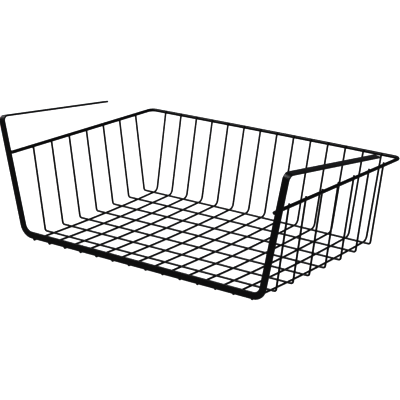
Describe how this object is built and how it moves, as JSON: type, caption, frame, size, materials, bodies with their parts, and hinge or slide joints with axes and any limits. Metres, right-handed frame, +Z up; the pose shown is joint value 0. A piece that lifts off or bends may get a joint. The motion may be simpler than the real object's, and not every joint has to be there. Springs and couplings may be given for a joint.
{
  "type": "under-shelf basket",
  "caption": "Open-front wire basket that hangs below a shelf board from two flat arms of one bent strap, with a rim wire around a welded wire mesh.",
  "frame": {"origin": "middle of the bounding box's underside, under the middle of the basket", "axes": "+X to the right seen from the open front, +Y to the rear, +Z up"},
  "size_m": [0.4268, 0.2718, 0.1557],
  "materials": {
    "black_coat": "satin black powder coat"
  },
  "bodies": {
    "root": {"hanger_strap": "black_coat", "rim_wire": "black_coat", "long_wire_01": "black_coat", "long_wire_02": "black_coat", "long_wire_03": "black_coat", "long_wire_04": "black_coat", "long_wire_05": "black_coat", "long_wire_06": "black_coat", "long_wire_07": "black_coat", "long_wire_08": "black_coat", "long_wire_09": "black_coat", "long_wire_10": "black_coat", "long_wire_11": "black_coat", "long_wire_12": "black_coat", "long_wire_13": "black_coat", "long_wire_14": "black_coat", "cross_wire_1": "black_coat", "cross_wire_2": "black_coat", "cross_wire_3": "black_coat", "cross_wire_4": "black_coat", "cross_wire_5": "black_coat", "cross_wire_6": "black_coat", "cross_wire_7": "black_coat"}
  },
  "joints": []
}
